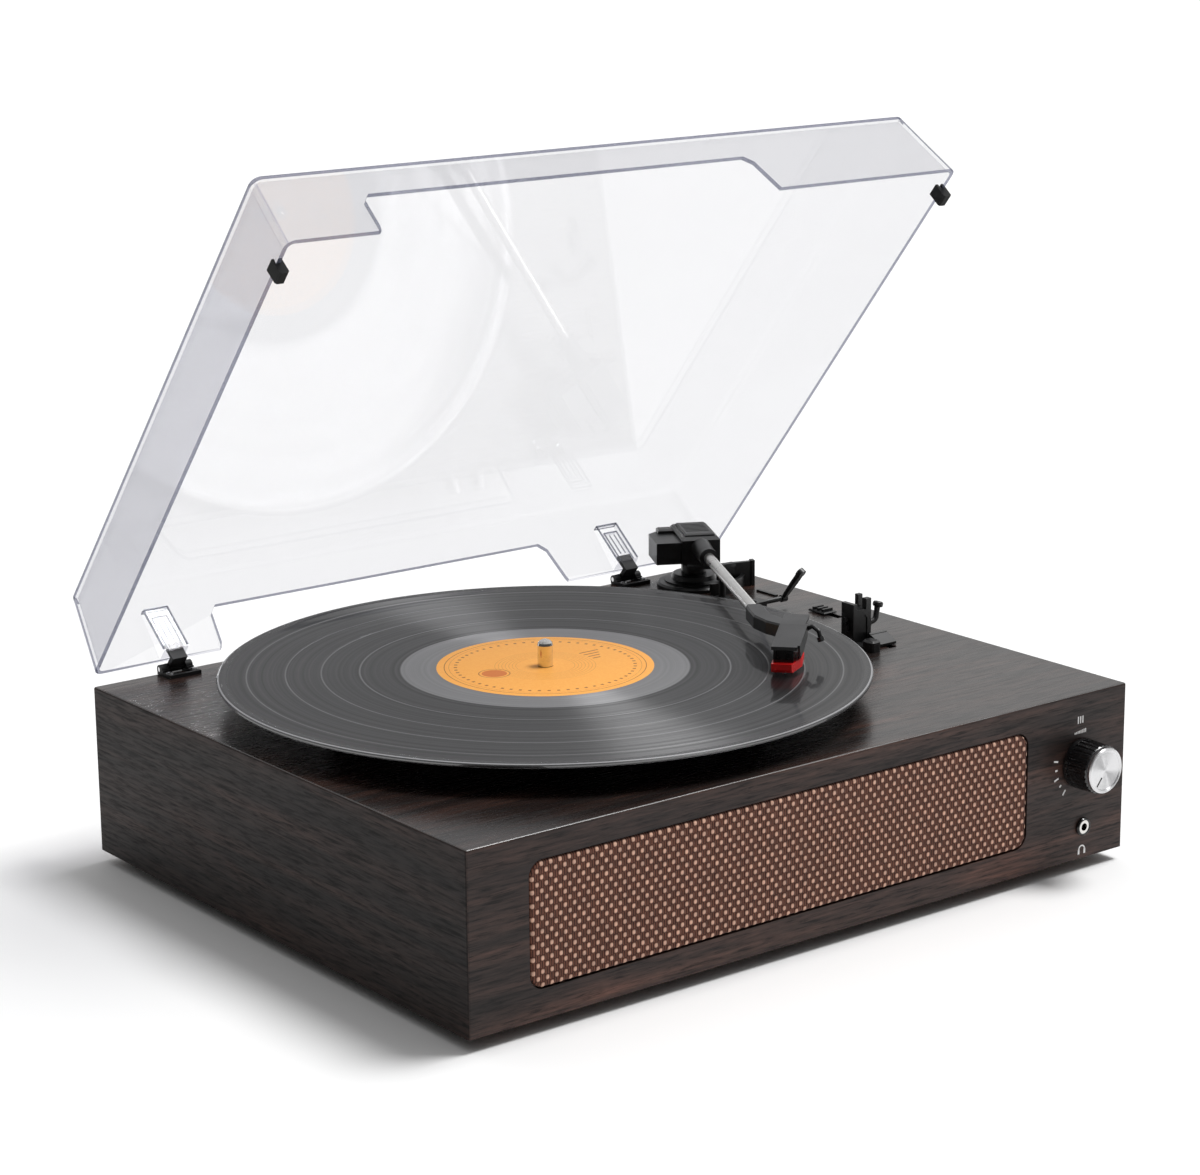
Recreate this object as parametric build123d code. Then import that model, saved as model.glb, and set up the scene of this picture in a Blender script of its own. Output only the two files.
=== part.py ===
from build123d import *
import os, math

# Compact belt-drive record player with built-in speakers and a hinged clear cover.
# Millimetres, +Z up, front towards -Y, stored with the cover open and the arm on the record.

# ---- driving dimensions -------------------------------------------------------------
W, D, H = 376.0, 300.0, 80.0          # wooden cabinet outside
T = 9.0                               # cabinet panel thickness
EDGE = 1.0                            # rounding of the outer cabinet edges
FOOT_H = 6.0                          # rubber foot showing below the cabinet
FOOT_X, FOOT_Y, FOOT_R = 152.0, 114.0, 10.0
REC_X, REC_Y, REC_R = -33.5, 4.0, 150.0   # spindle position and record radius
REC_TOP = 14.3                        # record's lead-in surface above the deck
PLATTER_R, RING_R = 100.0, 70.0       # platter rim and belt ring
MOTOR_DX, MOTOR_DY, PULLEY_R = -60.0, 58.8, 7.0
SPINDLE_R, SHAFT_R = 3.58, 2.9         # record seat above the disc and bearing shaft below it
ARM_X, ARM_Y, ARM_ANG = 150.0, 120.0, 28.1   # arm pivot and arm direction from -Y
TUBE_H, TUBE_R = 24.0, 2.75           # arm tube height above the deck
SHELL_ANG = 19.5                      # headshell offset angle
GR_X0, GR_X1, GR_Z0, GR_Z1, GR_R = -157.5, 124.5, 13.0, 68.5, 7.0   # grille opening
KNOB_X, KNOB_Z, KNOB_R = 158.3, 47.1, 11.8
JACK_X, JACK_Z, JACK_R = 161.4, 15.4, 1.8
COVER_W, COVER_D, COVER_H, COVER_T = 375.0, 288.0, 40.0, 2.2
COVER_GAP = 6.0                       # closed rim above the deck
DRAFT_S, DRAFT_F, DRAFT_R = 4.5, 3.0, 6.0   # wall lean of sides, front and rear
HINGE_Y, HINGE_Z = 148.5, 2.5         # hinge axis, height above the deck
HINGE_X = (-145.5, 126.5)
OPEN_DEG = 50.7                       # cover opening
SHIFT_Y = -5.4694                     # centres the whole part on the origin
# -------------------------------------------------------------------------------------
SHIFT_Z = FOOT_H
os.makedirs("parts", exist_ok=True)
made = []


def bx(x0, x1, y0, y1, z0, z1):
    return Pos((x0 + x1) / 2, (y0 + y1) / 2, (z0 + z1) / 2) * Box(x1 - x0, y1 - y0, z1 - z0)


def cz(x, y, r, z0, z1):
    return Pos(x, y, (z0 + z1) / 2) * Cylinder(r, z1 - z0)


def cx(y, z, r, x0, x1):
    return Pos((x0 + x1) / 2, y, z) * Rot(0, 90, 0) * Cylinder(r, x1 - x0)


def cy(x, z, r, y0, y1):
    return Pos(x, (y0 + y1) / 2, z) * Rot(90, 0, 0) * Cylinder(r, y1 - y0)


def prism(pts, z0, z1):
    face = make_face(Polyline(*[(a, b) for a, b in pts], close=True))
    return Pos(0, 0, z0) * extrude(face, z1 - z0)


def slab_xz(pts, y0, y1):
    # outline in X and Z, thick from y0 to y1
    pl = Plane((0, y1, 0), x_dir=(1, 0, 0), z_dir=(0, -1, 0))
    return extrude(pl * make_face(Polyline(*[(a, b) for a, b in pts], close=True)), y1 - y0)


def rrect_y(xc, zc, w, h, r, y0, y1):
    pl = Plane((xc, y1, zc), x_dir=(1, 0, 0), z_dir=(0, -1, 0))
    return extrude(pl * RectangleRounded(w, h, r), y1 - y0)


def turned(pts, x, y):
    # body of revolution about a vertical line at x, y; pts are (radius, z)
    pl = Plane((x, y, 0), x_dir=(1, 0, 0), z_dir=(0, -1, 0))
    return revolve(pl * make_face(Polyline(*pts, close=True)), Axis((x, y, 0), (0, 0, 1)), 360)


def turned_y(pts, x, z):
    # body of revolution about a line along Y at x, z; pts are (radius, y)
    pl = Plane((x, 0, z), x_dir=(1, 0, 0), z_dir=(0, 0, 1))
    return revolve(pl * make_face(Polyline(*pts, close=True)), Axis((x, 0, z), (0, 1, 0)), 360)


def save(name, *shapes):
    sol = []
    for s in shapes:
        sol += list(s.solids())
    loc = Pos(0, SHIFT_Y, SHIFT_Z)
    sol = [loc * s for s in sol]
    out = sol[0] if len(sol) == 1 else Compound(children=sol)
    export_step(out, f"parts/{name}.step")
    made.append((name, out.bounding_box()))


DK = H                                 # deck surface
wx, wy = W / 2, D / 2

# ---- cabinet panels, mitred at every edge -------------------------------------------
hull = Box(W, D, H)
hull = Pos(0, 0, H / 2) * fillet(hull.edges().filter_by(Axis.Z) + hull.edges().group_by(Axis.Z)[-1], EDGE)
frustum = loft([Plane.XY.offset(H - T) * Rectangle(W - 2 * T, D - 2 * T), Plane.XY.offset(H + 1) * Rectangle(W + 2, D + 2)])
deck = hull & frustum
G = 1.0


def wedge(side):
    if side in "fb":
        s = -1 if side == "f" else 1
        pts = [(-wx - G, s * (wy + G)), (wx + G, s * (wy + G)), (wx - T, s * (wy - T)), (-wx + T, s * (wy - T))]
    else:
        s = -1 if side == "l" else 1
        pts = [(s * (wx + G), -wy - G), (s * (wx + G), wy + G), (s * (wx - T), wy - T), (s * (wx - T), -wy + T)]
    return (prism(pts, 0, H) & hull) - frustum


front, rear, left, right = wedge("f"), wedge("b"), wedge("l"), wedge("r")

# deck cut-outs: bearing, motor, arm base, cue post, selector slots, rest pegs
MX, MY = REC_X + MOTOR_DX, REC_Y + MOTOR_DY
deck -= cz(REC_X, REC_Y, 9.2, H - T - 1, H + 1)
deck -= cz(MX, MY, 9.0, H - T - 1, H + 1)
deck -= cz(ARM_X, ARM_Y, 7.7, H - T - 1, H + 1)
LIFT_A, LIFT_RAD = math.radians(ARM_ANG - 15.0), 33.0
CUE_X, CUE_Y = ARM_X - LIFT_RAD * math.sin(LIFT_A), ARM_Y - LIFT_RAD * math.cos(LIFT_A)
deck -= cz(CUE_X, CUE_Y, 3.2, H - T - 1, H + 1)
SEL_X, SEL_Y = 164.6, 35.4
deck -= bx(SEL_X - 2.2, SEL_X + 2.2, SEL_Y - 14.0, SEL_Y + 3.6, H - T - 1, H + 1)
STOP_X, STOP_Y = 146.6, -28.4
deck -= bx(STOP_X - 2.2, STOP_X + 2.2, STOP_Y - 8.0, STOP_Y + 4.0, H - T - 1, H + 1)
save("deck_panel", deck)

# front panel with grille opening, control bush and socket holes
gxc, gzc = (GR_X0 + GR_X1) / 2, (GR_Z0 + GR_Z1) / 2
gw, gh = GR_X1 - GR_X0, GR_Z1 - GR_Z0
front -= rrect_y(gxc, gzc, gw, gh, GR_R, -wy - 1, -wy + T + 1)
front -= cy(KNOB_X, KNOB_Z, 3.7, -wy - 1, -wy + T + 1)
front -= cy(JACK_X, JACK_Z, 3.4, -wy - 1, -wy + T + 1)
save("front_panel", front)
save("left_panel", left)
save("right_panel", right)
TP_X, TP_Z = 110.0, 38.0
rear -= bx(TP_X - 30, TP_X + 30, wy - T - 1, wy + 1, TP_Z - 12, TP_Z + 12)
save("rear_panel", rear)
base = bx(-wx + T + 0.2, wx - T - 0.2, -wy + T + 0.2, wy - T - 0.2, 3, 8)
for sx in (-1, 1):
    for sy in (-1, 1):
        base -= cz(sx * FOOT_X, sy * FOOT_Y, 2.0, 2, 9)
for i in range(7):
    base -= bx(-70 + i * 14 - 1.5, -70 + i * 14 + 1.5, 70, 110, 2, 9)
save("base_panel", base)

# glue blocks, feet and their screws
blocks, feet, fscrews = [], [], []
for sx in (-1, 1):
    for sy in (-1, 1):
        x, y = sx * FOOT_X, sy * FOOT_Y
        xa, xb = sorted((sx * 140.0, sx * (wx - T)))
        ya, yb = sorted((sy * 102.0, sy * 126.0))
        b = bx(xa, xb, ya, yb, 8, 46)
        b -= cz(x, y, 2.0, 7, 22)
        blocks.append(b)
        f = turned([(2.0, -3.2), (4.4, -3.2), (4.4, -FOOT_H), (FOOT_R - 1.2, -FOOT_H), (FOOT_R - 0.2, -FOOT_H + 1.0), (FOOT_R, 1.5), (FOOT_R - 0.8, 3.0), (2.0, 3.0)], x, y)
        feet.append(f)
        s = turned([(0, -4.9), (3.0, -4.9), (3.8, -4.3), (3.8, -3.2), (2.0, -3.2), (2.0, 18.0), (0, 20.0)], x, y)
        s -= bx(x - 2.6, x + 2.6, y - 0.45, y + 0.45, -6, -4.1)
        s -= bx(x - 0.45, x + 0.45, y - 2.6, y + 2.6, -6, -4.1)
        fscrews.append(s)
save("corner_blocks", *blocks)
save("rubber_feet", *feet)
save("foot_screws", *fscrews)

# ---- grille and speakers ----------------------------------------------------------
SPK = (-95.0, 62.0)
c_out = rrect_y(gxc, gzc, gw - 1.4, gh - 1.4, GR_R - 0.7, -wy + 0.7, -wy + T)
c_in = rrect_y(gxc, gzc, gw - 3.4, gh - 3.4, GR_R - 1.7, -wy + 1.7, -wy + T + 1)
save("grille_cloth", c_out - c_in)
board = rrect_y(gxc, gzc, gw - 3.4, gh - 3.4, GR_R - 1.7, -wy + 1.7, -wy + 6.7)
baffle = bx(gxc - 148, gxc + 148, -wy + T, -wy + T + 5, 9, 71)
bask, cones, mags, sscr = [], [], [], []
for sxp in SPK:
    board -= cy(sxp, gzc, 23.0, -wy, -wy + 9)
    baffle -= cy(sxp, gzc, 25.5, -wy + T - 1, -wy + T + 6)
    y0 = -wy + T + 5
    b = turned_y([(23.5, y0), (29.8, y0), (29.8, y0 + 1.6), (25.2, y0 + 1.6), (17.0, y0 + 17.6), (8.0, y0 + 17.6), (8.0, y0 + 16.0), (15.6, y0 + 16.0), (23.5, y0 + 1.0)], sxp, gzc)
    for k in range(4):
        a = math.radians(45 + 90 * k)
        px, pz = sxp + 27.7 * math.cos(a), gzc + 27.7 * math.sin(a)
        b -= cy(px, pz, 1.2, y0 - 1, y0 + 3)
        baffle -= cy(px, pz, 1.2, y0 - 4, y0 + 1)
        sscr.append(turned_y([(0, y0 - 3.5), (1.2, y0 - 3.5), (1.2, y0 + 1.6), (1.9, y0 + 1.6), (1.6, y0 + 2.7), (0, y0 + 2.9)], px, pz))
    for k in range(4):
        a = math.radians(90 * k)
        b -= Pos(sxp + 21.5 * math.cos(a), y0 + 9.2, gzc + 21.5 * math.sin(a)) * Box(14, 9, 14)
    bask.append(b)
    cones.append(turned_y([(0, y0 + 5.4), (5.0, y0 + 6.6), (8.6, y0 + 9.2), (22.5, y0 - 1.0), (24.6, y0 - 2.0), (24.6, y0 - 1.0), (23.0, y0 + 0.2), (7.6, y0 + 13.2), (7.6, y0 + 15.6), (6.6, y0 + 15.6), (6.6, y0 + 10.0), (4.6, y0 + 7.6), (0, y0 + 6.4)], sxp, gzc))
    mags.append(turned_y([(0, y0 + 17.6), (15.5, y0 + 17.6), (16.0, y0 + 18.2), (16.0, y0 + 27.0), (15.0, y0 + 28.0), (0, y0 + 28.0)], sxp, gzc))
save("grille_board", board)
save("baffle_board", baffle)
save("speaker_baskets", *bask)
save("speaker_cones", *cones)
save("speaker_magnets", *mags)
save("speaker_screws", *sscr)

# ---- electronics ------------------------------------------------------------------
PB = (60.0, 130.0, -30.0, 30.0)
pcb = bx(PB[0], PB[1], PB[2], PB[3], 16, 17.6)
pcb += bx(70, 82, -20, -6, 17.6, 27) + bx(90, 116, -22, -14, 17.6, 32) + cz(75, 14, 5, 17.6, 33) + cz(90, 14, 4, 17.6, 29) + bx(102, 122, 4, 20, 17.6, 24)
stand = []
for x in (PB[0] + 4, PB[1] - 4):
    for y in (PB[2] + 4, PB[3] - 4):
        pcb -= cz(x, y, 1.6, 15, 19)
        stand.append(turned([(0, 8), (3.2, 8), (3.2, 16), (1.6, 16), (1.6, 18.2), (0, 18.8)], x, y))
save("circuit_board", pcb)
save("pcb_standoffs", *stand)
plate = rrect_y(TP_X, TP_Z, 70, 32, 3, wy, wy + 2)
plate += bx(TP_X - 29.8, TP_X + 29.8, wy - 3, wy, TP_Z - 11.8, TP_Z + 11.8)
RCA = (TP_X - 18, TP_X - 1)
rcas = []
for x in RCA:
    plate -= cy(x, TP_Z, 3.2, wy - 5, wy + 3)
    rcas.append(turned_y([(1.7, wy - 2), (3.2, wy - 2), (3.2, wy + 2), (5.2, wy + 2), (5.2, wy + 3.4), (4.15, wy + 3.4), (4.15, wy + 10.6), (3.8, wy + 11.0), (1.7, wy + 11.0)], x, TP_Z))
DCX = TP_X + 18
plate -= cy(DCX, TP_Z, 4.5, wy - 5, wy + 3)
dc = turned_y([(2.75, wy - 6), (4.5, wy - 6), (4.5, wy + 2), (5.6, wy + 2), (5.6, wy + 3.2), (2.75, wy + 3.2)], DCX, TP_Z)
dc += bx(DCX - 5, DCX + 5, wy - 14, wy - 6, TP_Z - 5, TP_Z + 5)
dc += turned_y([(0, wy - 7), (1.0, wy - 7), (1.0, wy + 0.6), (0.6, wy + 1.2), (0, wy + 1.2)], DCX, TP_Z)
save("terminal_plate", plate)
save("rca_jacks", *rcas)
save("dc_inlet", dc)

# headphone socket
yj = -wy
hj = bx(JACK_X - 6, JACK_X + 6, yj + T, yj + T + 13, JACK_Z - 5, JACK_Z + 6)
hj += cy(JACK_X, JACK_Z, 3.3, yj - 1.2, yj + T)
hj -= cy(JACK_X, JACK_Z, JACK_R, yj - 2, yj + T + 7)
save("headphone_jack", hj)
jn = turned_y([(3.3, yj), (4.3, yj), (4.3, yj - 0.9), (3.9, yj - 1.5), (3.3, yj - 1.5)], JACK_X, JACK_Z)
save("jack_nut", jn)

# volume control, shaft and knob
yk = -wy
pot = bx(KNOB_X - 8.5, KNOB_X + 8.5, yk + T, yk + T + 8, KNOB_Z - 9, KNOB_Z + 8.5)
pot += cy(KNOB_X, KNOB_Z, 3.5, yk - 2.6, yk + T)
pot -= cy(KNOB_X, KNOB_Z, 3.05, yk - 3, yk + T + 5)
save("volume_pot", pot)
pl = Plane((KNOB_X, yk, KNOB_Z), x_dir=(1, 0, 0), z_dir=(0, -1, 0))
pn = extrude(pl * RegularPolygon(5.6, 6), 2.0) - cy(KNOB_X, KNOB_Z, 3.5, yk - 3, yk + 1)
save("pot_nut", pn)
shaft = cy(KNOB_X, KNOB_Z, 3.0, yk - 11.0, yk + T + 4.5)
shaft -= bx(KNOB_X - 4, KNOB_X + 4, yk - 12, yk - 4, KNOB_Z + 1.6, KNOB_Z + 4)
save("pot_shaft", shaft)
R0, R1 = KNOB_R, KNOB_R - 0.8
sk = turned_y([(8.6, yk - 0.8), (R0, yk - 0.8), (R0, yk - 2.4), (R1 + 0.4, yk - 14.0), (R1, yk - 14.6), (0, yk - 14.6), (0, yk - 4.6), (8.6, yk - 4.6)], KNOB_X, KNOB_Z)
sk -= cy(KNOB_X, KNOB_Z, 3.0, yk - 11.0, yk)
sk += bx(KNOB_X - 3.4, KNOB_X + 3.4, yk - 11.0, yk - 4.6, KNOB_Z + 1.6, KNOB_Z + 4.2)
for k in range(30):
    a = 2 * math.pi * k / 30
    sk -= Pos(KNOB_X + (R0 + 0.2) * math.cos(a), yk - 9.4, KNOB_Z + (R0 + 0.2) * math.sin(a)) * Rot(90, 0, 0) * Cylinder(0.85, 12.8)
save("knob_skirt", sk)
cap = turned_y([(0, yk - 14.6), (10.7, yk - 14.6), (10.7, yk - 16.1), (10.2, yk - 16.6), (9.4, yk - 16.6), (8.8, yk - 16.2), (0, yk - 16.2)], KNOB_X, KNOB_Z)
aa = math.radians(232)
cap -= Pos(KNOB_X + 6.2 * math.cos(aa), yk - 16.3, KNOB_Z + 6.2 * math.sin(aa)) * Rot(0, -232, 0) * Box(5.0, 0.8, 0.9)
save("knob_cap", cap)

# ---- drive ------------------------------------------------------------------------
mot = turned([(1.05, 72), (4.0, 72), (4.0, 71), (17.0, 71), (17.0, 50), (16.0, 49), (1.05, 49)], MX, MY)
mot += bx(MX - 24, MX + 24, MY - 7, MY + 7, 69.5, 71) - cz(MX, MY, 10, 60, 80)
save("motor", mot)
pul = turned([(0, 52), (1.0, 52), (1.0, 82.6), (PULLEY_R + 0.6, 82.6), (PULLEY_R + 0.6, 83.2), (PULLEY_R, 83.4), (PULLEY_R, 86.4), (PULLEY_R + 0.6, 86.6), (PULLEY_R + 0.6, 87.2), (0, 87.2)], MX, MY)
save("motor_pulley", pul)
bz0, bz1 = 83.5, 86.3
ang = math.atan2(MOTOR_DY, MOTOR_DX)
dist = math.hypot(MOTOR_DX, MOTOR_DY)


def loop(ra, rb, z0, z1):
    # outline of a belt round the platter ring and the pulley
    b = math.acos((ra - rb) / dist)
    pa = [(REC_X + ra * math.cos(ang + s * b), REC_Y + ra * math.sin(ang + s * b)) for s in (1, -1)]
    pb = [(MX + rb * math.cos(ang + s * b), MY + rb * math.sin(ang + s * b)) for s in (1, -1)]
    quad = prism([pa[0], pb[0], pb[1], pa[1]], z0, z1)
    return cz(REC_X, REC_Y, ra, z0, z1) + cz(MX, MY, rb, z0, z1) + quad


save("drive_belt", loop(RING_R + 1.2, PULLEY_R + 1.2, bz0, bz1) - loop(RING_R + 0.4, PULLEY_R + 0.4, bz0 - 1, bz1 + 1))
save("bearing_housing", turned([(6.0, 46), (6.0, 80.4), (9.0, 80.4), (9.0, 71), (24, 71), (24, 68), (12, 66), (10, 44), (0, 44), (0, 46)], REC_X, REC_Y))
save("bearing_bush", turned([(SHAFT_R + 0.05, 46), (6.0, 46), (6.0, 80.8), (SHAFT_R + 0.05, 80.8)], REC_X, REC_Y))

# platter, mat, record and label turn together with the spindle
platter = turned([(SHAFT_R, 84), (14, 84), (14, 88), (RING_R - 3, 88), (RING_R - 3, 82.6), (RING_R, 82.6), (RING_R, 88), (PLATTER_R - 3, 88), (PLATTER_R - 3, 82.2), (PLATTER_R - 0.6, 82.2), (PLATTER_R, 82.8), (PLATTER_R, 90.4), (PLATTER_R - 0.6, 91), (SHAFT_R, 91)], REC_X, REC_Y)
save("platter", platter)
RT = DK + REC_TOP
save("slip_mat", turned([(3.8, 91), (98, 91), (98, RT - 2.1), (3.8, RT - 2.1)], REC_X, REC_Y))
rb = RT - 2.1
record = turned([(3.62, rb), (52, rb), (54, rb + 0.3), (145, rb + 0.3), (147, rb), (149.2, rb), (REC_R, rb + 0.7), (REC_R, RT - 0.7), (149.2, RT), (147.2, RT), (145.6, RT - 0.25), (54, RT - 0.25), (52, RT), (3.62, RT)], REC_X, REC_Y)
save("record", record)
save("record_label", turned([(3.62, RT), (50, RT), (50, RT + 0.1), (3.62, RT + 0.1)], REC_X, REC_Y))
st0 = RT + 0.3
save("spindle", turned([(0, 46.4), (SHAFT_R - 0.5, 46.4), (SHAFT_R, 46.9), (SHAFT_R, st0), (SPINDLE_R, st0), (SPINDLE_R, st0 + 9.6), (3.3, st0 + 10.8), (2.5, st0 + 11.7), (1.3, st0 + 12.3), (0, st0 + 12.5)], REC_X, REC_Y))

# ---- tonearm ----------------------------------------------------------------------
ca, sa = math.cos(math.radians(ARM_ANG)), math.sin(math.radians(ARM_ANG))
ARM = Plane((ARM_X, ARM_Y, DK), x_dir=(-sa, -ca, 0), z_dir=(0, 0, 1)).location   # s along the arm, t to its right
tb = turned([(2.55, 64), (7.5, 64), (7.5, 80), (19.3, 80), (19.3, 81.6), (18.3, 82.6), (15.4, 82.9), (15.4, 83.6), (12.0, 84.2), (11.2, 86.6), (10.6, 87.0), (2.55, 87.0)], ARM_X, ARM_Y)
nut = turned([(7.5, 66), (12, 66), (12, 71), (7.5, 71)], ARM_X, ARM_Y)
tb += nut
save("tonearm_base", tb)
post = turned([(0, 58), (5, 58), (5, 60), (2.5, 60), (2.5, 87.3), (6.6, 87.3), (6.6, 93.3), (0, 93.3)], ARM_X, ARM_Y)
PIV_H = 21.0
yoke = ARM * (bx(-4, 4, -4.6, 4.6, 13.2, 24.2) - Pos(0, 0, PIV_H) * Rot(90, 0, 0) * Cylinder(1.0, 20))
save("arm_post", post + yoke)
save("arm_pivot_pin", ARM * (Pos(0, 0, PIV_H) * Rot(90, 0, 0) * Cylinder(1.0, 19.0)))


# arm housing with the side pod, ribbed cap and tube collar
def uh(pts, v0, v1):
    # outline along the arm and in height, thick across it
    pl = Plane((0, v1, 0), x_dir=(1, 0, 0), z_dir=(0, -1, 0))
    return extrude(pl * make_face(Polyline(*pts, close=True)), v1 - v0)


main = uh([(-14, 15.5), (20, 15.5), (20, 28.6), (18.4, 30.2), (-12.6, 30.2), (-14, 28.6)], -10.0, 10.0)
main = chamfer(main.edges().filter_by(Axis.X).group_by(Axis.Z)[-1], 1.4)
cap_top = Pos(0, 0, 30.2) * extrude(Pos(3, 0) * Rectangle(27, 15.6), 1.2)
cap_top = chamfer(cap_top.edges().group_by(Axis.Z)[-1], 0.7)
for k in range(6):
    cap_top -= bx(-5.0 + k * 2.9, -4.0 + k * 2.9, -6.0, 6.0, 30.8, 32)
pod = uh([(-12, 16.0), (18, 16.0), (18, 27.3), (-12, 27.3)], -23.0, -10.0)
pod = chamfer(pod.edges().filter_by(Axis.Z).group_by(Axis.X)[0].group_by(Axis.Y)[0], 7.0)
knob = bx(-11.2, -4.4, -18.0, -10.0, 27.3, 29.4)
pod += chamfer(knob.edges().group_by(Axis.Z)[-1], 0.8)
collar = Pos(28.5, 0, TUBE_H) * Rot(0, 90, 0) * Cone(5.6, 4.3, 17) + Pos(38.4, 0, TUBE_H) * Rot(0, 90, 0) * Cylinder(4.8, 3.2)
house = main + cap_top + pod + collar
house -= bx(-6.6, 6.6, -5.2, 5.2, 15, 25.8)
house -= Pos(0, 0, PIV_H) * Rot(90, 0, 0) * Cylinder(1.06, 19.4)
house -= Pos(30, 0, TUBE_H) * Rot(0, 90, 0) * Cylinder(TUBE_R, 24)
save("arm_housing", ARM * house)
TUBE_END = 154.0
tube = Pos((18 + TUBE_END) / 2, 0, TUBE_H) * Rot(0, 90, 0) * (Cylinder(TUBE_R, TUBE_END - 18) - Cylinder(2.2, TUBE_END - 17))
save("arm_tube", ARM * tube)

hc, hs = math.cos(math.radians(SHELL_ANG)), math.sin(math.radians(SHELL_ANG))
SHL = Plane((175.3, 14.15, 0), x_dir=(hc, -hs, 0), z_dir=(0, 0, 1)).location
ad = prism([(145, -3.4), (149, -4.6), (166, -4.6), (177, -1.2), (187, 5.4), (183, 12.4), (174, 8.4), (164, 4.4), (149, 4.2), (145, 3.4)], 20.6, 27.0)
ad = chamfer(ad.edges().group_by(Axis.Z)[-1], 0.8)
ad += SHL * bx(2, 15, -4.4, 4.4, 23, 27.2)
ad -= Pos((TUBE_END + 140) / 2, 0, TUBE_H) * Rot(0, 90, 0) * Cylinder(TUBE_R, TUBE_END - 140)
save("arm_adapter", ARM * ad)

# folded headshell plate with side cheek and finger lift
pf = [(0, 27.2), (18, 27.2), (52.7, 25.7), (52.7, 27.3), (18.2, 28.9), (0, 28.9)]
sh = uh(pf, -5.85, 5.85)
sh += uh([(17, 27.6), (17, 22.8), (36, 20.4), (46, 20.4), (50, 25.9)], 5.85, 7.0)
sh += uh([(17, 27.2), (50, 25.8), (50, 27.42), (18.2, 28.9), (17, 28.9)], 5.85, 7.0)
path = FilletPolyline((18, 6.4, 26.6), (19.5, 9.4, 28.7), (22, 12.6, 27.0), (23.2, 13.6, 23.8), radius=1.5)
lift = sweep(Plane(path @ 0, z_dir=path % 0) * Circle(1.05), path=path)
sh += lift
sh += Pos(23.2, 13.6, 23.8) * Rot(20, 0, 0) * Cylinder(1.7, 2.2)
save("headshell", ARM * (SHL * sh))
# cartridge body hangs below the plate, stylus assembly slides on below it
def top_at(u):
    return 27.2 - 1.5 * (u - 18) / 34.7
ct = uh([(34, 19.8), (51.8, 19.8), (51.8, top_at(51.8)), (34, top_at(34))], -5.0, 4.2)
ct -= bx(50.6, 53, -3.6, -1.8, 21.0, 30)
ct -= bx(50.6, 53, 0.6, 2.4, 21.0, 30)
save("cartridge", ARM * (SHL * ct))
sty = uh([(33.5, 19.8), (33.5, 17.6), (42, 15.6), (53.8, 15.6), (55.0, 17.0), (55.0, 19.8)], -5.6, 7.2)
sty &= prism([(33.5, -5.6), (55.0, -5.6), (55.0, 3.8), (42.0, 7.2), (33.5, 7.2)], 15, 20)
sty += Pos(53.6, 0, 15.2) * Cone(0.25, 0.6, 1.0)
save("stylus", ARM * (SHL * sty))

# ---- cueing ------------------------------------------------------------------------
# side plate beside the arm base, low guard wall round its front, guide for the lift post
wall = prism([(6.3, 19.4), (4.7, 29.4), (7.1, 29.8), (8.9, 20.0)], 0, 13.0)
wall += prism([(9.0, 10.2), (6.3, 19.4), (8.9, 20.0), (11.5, 10.8)], 4.4, 13.0)
wall += prism([(4.3, 28.6), (4.1, 30.6), (7.7, 31.0), (7.9, 29.2)], 0, 13.6)
guard = cz(0, 0, 26.6, 0, 6.6) - cz(0, 0, 24.6, -1, 8)
guard &= prism([(0, 0)] + [(60 * math.cos(math.radians(a)), 60 * math.sin(math.radians(a))) for a in (8, 30, 52, 76)], -1, 8)
br = ARM * (wall + guard)
guide = cz(CUE_X, CUE_Y, 3.1, DK - 10, DK) + cz(CUE_X, CUE_Y, 4.2, DK, DK + 1.2)
guide -= cz(CUE_X, CUE_Y, 1.86, DK - 11, DK + 3)
LEV_Y, LEV_H = 56.2, 4.5
carrier = bx(136.0, 143.0, LEV_Y - 3.0, LEV_Y + 3.0, DK, DK + 6.6)
carrier = chamfer(carrier.edges().group_by(Axis.Z)[-1], 0.8)
carrier -= cx(LEV_Y, DK + LEV_H, 1.36, 135, 145)
rail = bx(166.6, 168.4, 74.0, 89.0, DK, DK + 0.9)
save("cue_bracket", br, guide, carrier, rail)

ring = cz(ARM_X, ARM_Y, 34.6, DK + 16.8, DK + 18.6) - cz(ARM_X, ARM_Y, 31.2, DK + 16, DK + 20)
sect = prism([(ARM_X, ARM_Y)] + [(ARM_X - 60 * math.sin(math.radians(a)), ARM_Y - 60 * math.cos(math.radians(a))) for a in (1, 16, 30, 45)], DK + 16, DK + 20)
lift_arc = ring & sect
lift_arc += cz(CUE_X, CUE_Y, 1.8, DK - 8, DK + 16.8)
save("cue_lift", lift_arc)
lev = cx(LEV_Y, DK + LEV_H, 1.3, 136.5, 156.0) + cx(LEV_Y, DK + LEV_H, 1.9, 154.9, 158.1)
dvec = Vector(3.0, -11.0, 16.0).normalized()
pad_loc = Plane((156.5, LEV_Y, DK + LEV_H), x_dir=Vector(-dvec.Y, dvec.X, 0).normalized(), z_dir=dvec).location
padl = loft([Plane.XY * RectangleRounded(2.4, 2.2, 0.7), Plane.XY.offset(11.0) * RectangleRounded(5.0, 2.6, 1.0)])
padl += Pos(0, 0, 11.0) * extrude(RectangleRounded(5.0, 2.6, 1.0), 7.0)
padl = padl + Pos(0, 0, 18) * Rot(90, 0, 0) * Cylinder(2.5, 2.6)
lev += pad_loc * padl
save("cue_lever", lev)

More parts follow.
